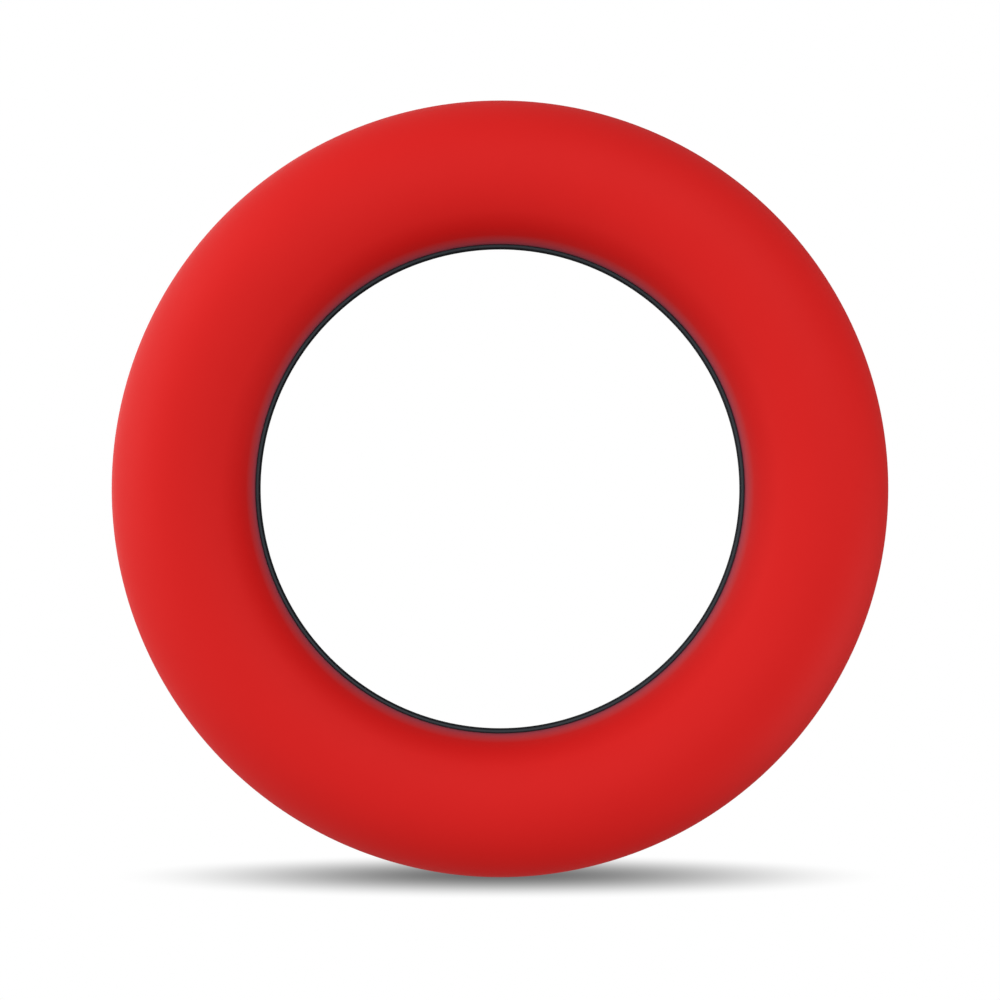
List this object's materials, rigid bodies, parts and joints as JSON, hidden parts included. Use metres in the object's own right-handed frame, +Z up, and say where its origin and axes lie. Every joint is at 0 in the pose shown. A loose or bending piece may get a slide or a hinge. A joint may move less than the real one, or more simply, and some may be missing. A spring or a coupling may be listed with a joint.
{
  "type": "juggling ring",
  "caption": "Padded juggling ring: a thick round silicone grip over a foam core, clamped on a thin rigid rim that lines the bore.",
  "frame": {"origin": "the ring's centre: on its axis, in the middle plane of its thickness", "axes": "the ring stands upright: +Z up, the ring's axis is Y, and its front faces -Y"},
  "size_m": [0.24, 0.046, 0.2399],
  "materials": {
    "silicone": "satin",
    "rim": "satin",
    "foam": "matte",
    "tube": "satin",
    "plug": "matte",
    "rivet": "satin"
  },
  "bodies": {
    "root": {"grip_sleeve": "silicone", "front_rim": "rim", "rear_rim": "rim", "front_foam_core": "foam", "rear_foam_core": "foam", "core_tube": "tube", "tube_connector": "plug", "connector_pins": "rivet", "rim_rivets": "rivet"}
  },
  "joints": []
}
